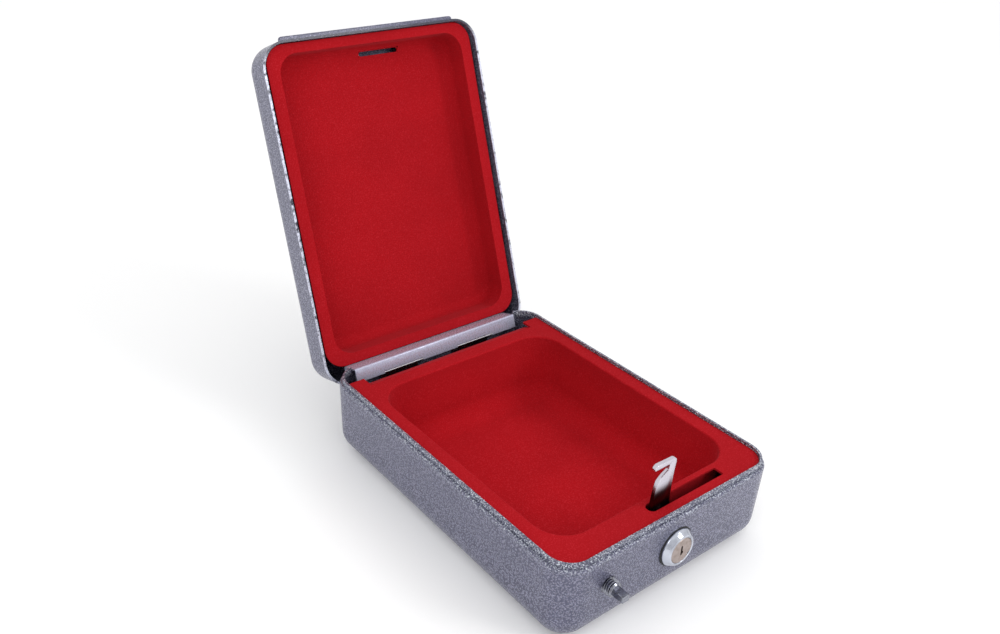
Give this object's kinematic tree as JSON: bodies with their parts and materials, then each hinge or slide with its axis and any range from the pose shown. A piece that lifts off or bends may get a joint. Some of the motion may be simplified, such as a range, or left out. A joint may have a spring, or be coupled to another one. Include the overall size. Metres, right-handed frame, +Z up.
{
  "type": "car safe",
  "caption": "Small pressed steel car safe with a hinged lid standing open, flocked trays, a cam lock with an upright hook and a stud for a tether.",
  "frame": {"origin": "centre of the flat underside of the case", "axes": "+X to the right seen from the lock side, +Y from the lock to the hinge, +Z up"},
  "size_m": [0.1524, 0.3097, 0.231],
  "materials": {
    "case_paint": "hammertone grey",
    "channel_paint": "smooth grey",
    "red_flock": "flocked",
    "zinc_steel": "zinc plated",
    "lock_chrome": "polished",
    "lock_brass": "turned",
    "gasket_rubber": "matt"
  },
  "bodies": {
    "case": {"base_shell": "case_paint", "base_liner": "red_flock", "base_liner_flange": "red_flock", "base_hinge_straps": "channel_paint", "hinge_pin": "zinc_steel", "lock_housing": "lock_chrome", "lock_gasket": "gasket_rubber", "lock_washer": "zinc_steel", "lock_nut": "zinc_steel", "anchor_stud": "zinc_steel", "stud_washer": "zinc_steel", "stud_nut": "zinc_steel"},
    "lid": {"lid_shell": "case_paint", "lid_liner": "red_flock", "strike_plate": "zinc_steel", "hinge_channel": "channel_paint", "lid_hinge_leaf": "zinc_steel"},
    "hook": {"lock_core": "lock_brass", "lock_wafers": "lock_brass", "stop_washer": "zinc_steel", "cam_hook": "zinc_steel", "cam_washer": "zinc_steel", "cam_screw": "zinc_steel"}
  },
  "joints": [
    {"name": "lid_hinge", "type": "hinge", "parent": "case", "child": "lid", "pos_m": [0, 0.099, 0.0415], "axis": [1, 0, 0], "range_deg": [0, 109.6]},
    {"name": "hook_turn", "type": "hinge", "parent": "case", "child": "hook", "pos_m": [0, -0.1, 0.0283], "axis": [0, 1, 0], "range_deg": [0, 90]}
  ]
}
